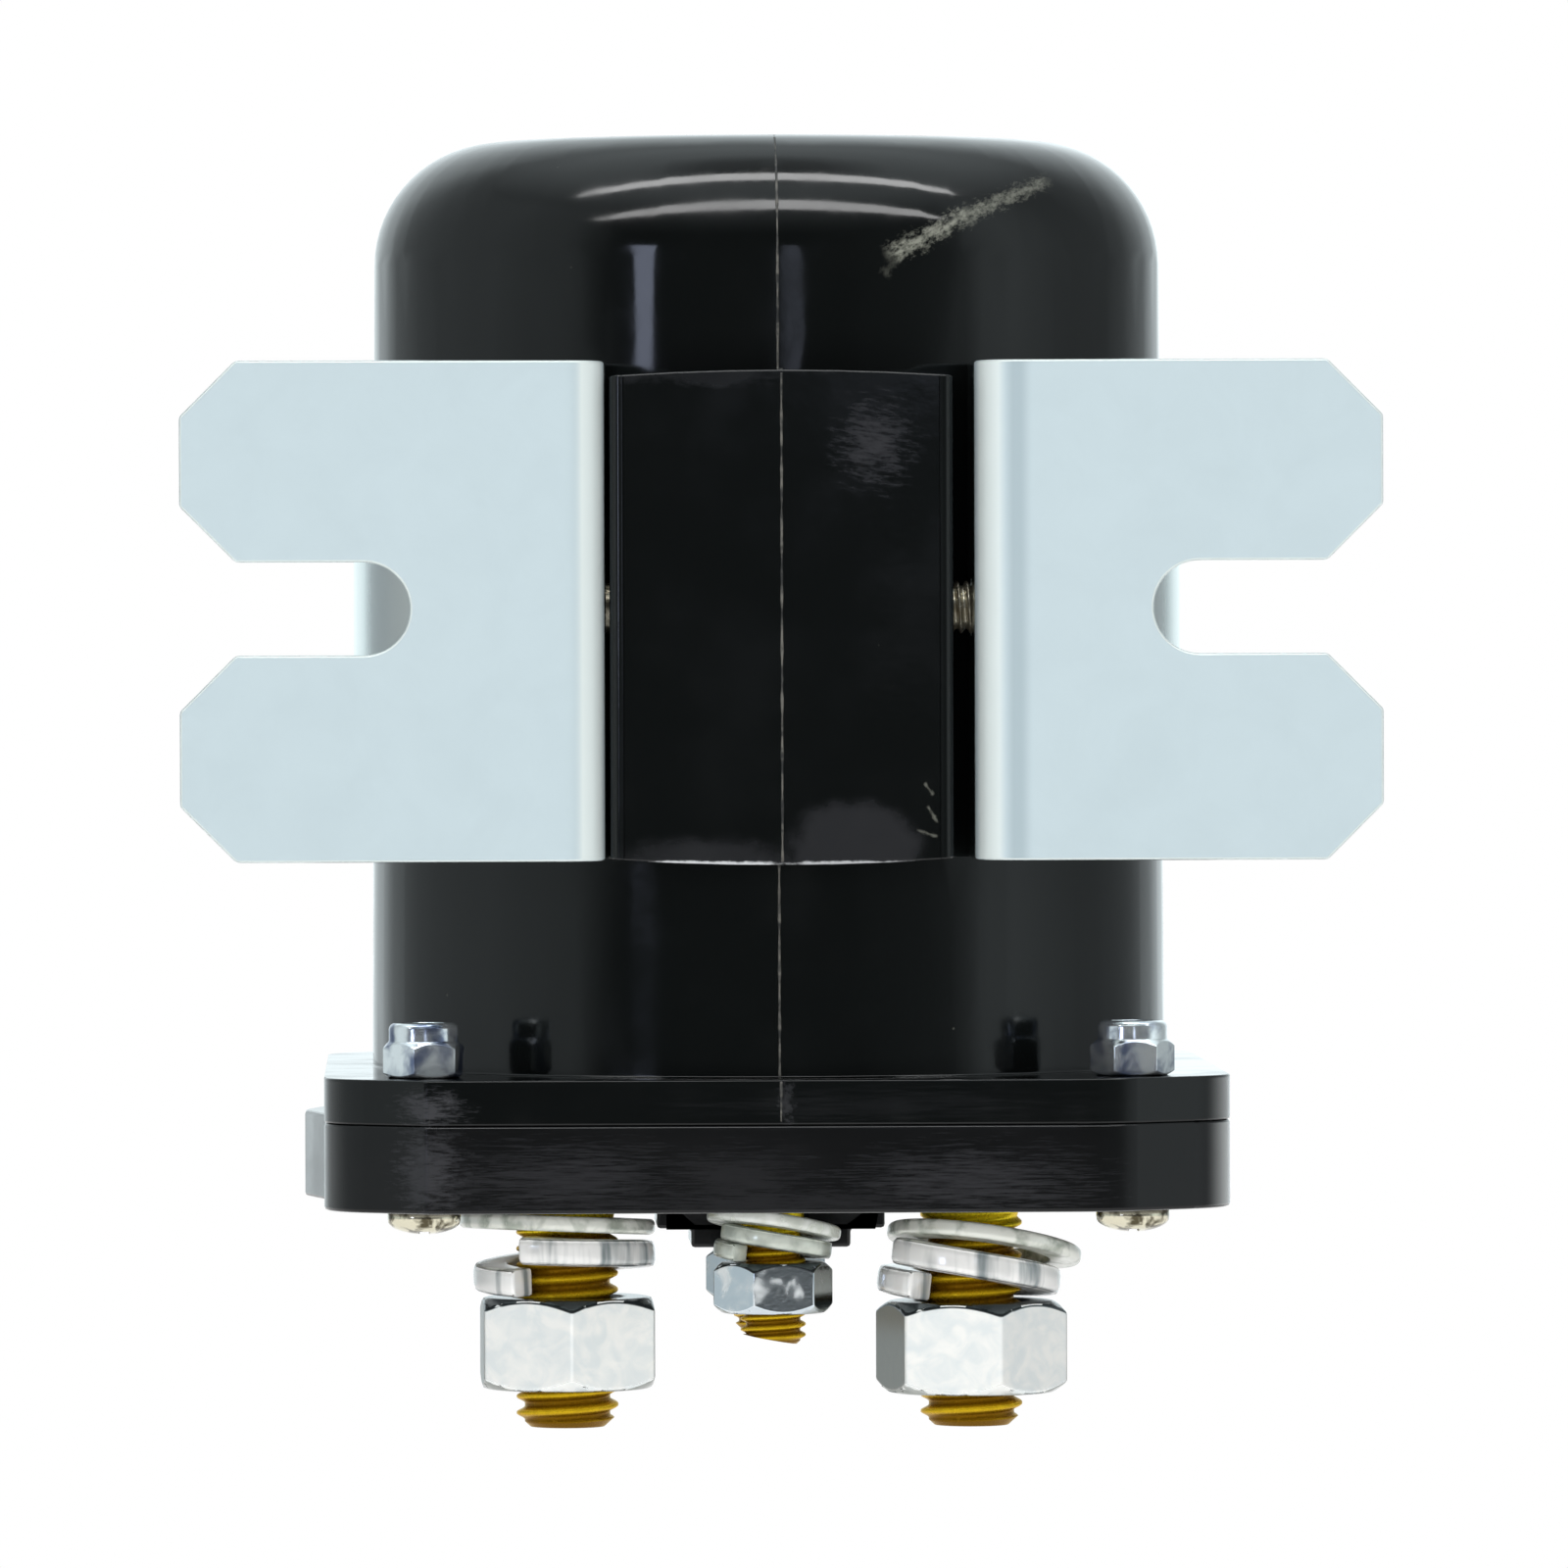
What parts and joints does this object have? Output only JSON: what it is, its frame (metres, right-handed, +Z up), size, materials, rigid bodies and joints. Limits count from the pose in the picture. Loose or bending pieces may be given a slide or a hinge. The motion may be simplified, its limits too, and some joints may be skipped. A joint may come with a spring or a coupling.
{
  "type": "solenoid relay",
  "caption": "Round moulded solenoid relay in a wrapped steel strap with slotted mounting ears, threaded terminal studs below and a plunger and contact disc inside.",
  "frame": {"origin": "halfway between the two mounting slots, on the outer face of the ears", "axes": "+Z up along the body, from the terminals to the dome; -Y out of the ears into the surface that they are bolted to; +X to the right as seen looking along +Y"},
  "size_m": [0.0882, 0.0737, 0.0976],
  "materials": {
    "housing_plastic": "gloss",
    "cap_plastic": "gloss",
    "zinc_plate": "satin",
    "zinc_bolt": "satin",
    "stud_brass": "satin",
    "bright_nut": "polished",
    "flat_washer_steel": "satin",
    "spring_washer_steel": "polished",
    "screw_nickel": "satin",
    "lock_nut_zinc": "satin",
    "nylon": "satin",
    "bobbin_plastic": "satin",
    "enamelled_copper": "satin",
    "magnet_iron": "satin",
    "guide_brass": "satin",
    "spring_steel": "satin",
    "insulator": "satin",
    "contact_copper": "satin"
  },
  "bodies": {
    "root": {"housing": "housing_plastic", "terminal_cap": "cap_plastic", "strap_bracket": "zinc_plate", "cross_bolt": "zinc_bolt", "cross_washer": "zinc_bolt", "cross_nut": "zinc_bolt", "power_stud_left": "stud_brass", "power_stud_right": "stud_brass", "coil_stud_front": "stud_brass", "coil_stud_rear": "stud_brass", "power_nut_left": "bright_nut", "power_nut_right": "bright_nut", "coil_nut_front": "bright_nut", "coil_nut_rear": "bright_nut", "power_washer_left": "flat_washer_steel", "power_washer_right": "flat_washer_steel", "coil_washer_front": "flat_washer_steel", "coil_washer_rear": "flat_washer_steel", "power_spring_washer_left": "spring_washer_steel", "power_spring_washer_right": "spring_washer_steel", "coil_spring_washer_front": "spring_washer_steel", "coil_spring_washer_rear": "spring_washer_steel", "corner_screw_front_left": "screw_nickel", "corner_screw_front_right": "screw_nickel", "corner_screw_rear_left": "screw_nickel", "corner_screw_rear_right": "screw_nickel", "lock_nut_front_left": "lock_nut_zinc", "lock_nut_front_right": "lock_nut_zinc", "lock_nut_rear_left": "lock_nut_zinc", "lock_nut_rear_right": "lock_nut_zinc", "lock_nut_inserts": "nylon", "coil_bobbin": "bobbin_plastic", "coil_winding": "enamelled_copper", "coil_lead_front": "enamelled_copper", "coil_lead_rear": "enamelled_copper", "yoke_can": "magnet_iron", "pole_plate": "magnet_iron", "fixed_core": "magnet_iron", "guide_tube": "guide_brass"},
    "armature": {"plunger": "magnet_iron", "push_rod": "spring_steel", "return_spring": "spring_steel", "rod_collar": "spring_steel", "contact_spring": "spring_steel", "insulating_washer": "insulator", "retaining_clip": "spring_steel"},
    "bridge": {"contact_disc": "contact_copper", "insulating_bush": "insulator"}
  },
  "joints": [
    {"name": "armature_slide", "type": "slide", "parent": "root", "child": "armature", "axis": [0, 0, -1], "range_m": [0, 0.004], "stiffness_N_per_m": 1500, "springref_m": -0.008, "deforming": ["return_spring"]},
    {"name": "bridge_slide", "type": "slide", "parent": "armature", "child": "bridge", "axis": [0, 0, 1], "range_m": [0, 0.001], "deforming": ["contact_spring"]}
  ],
  "couplings": [
    {"joint": "bridge_slide", "follows": "armature_slide", "ratio": 0.25}
  ]
}
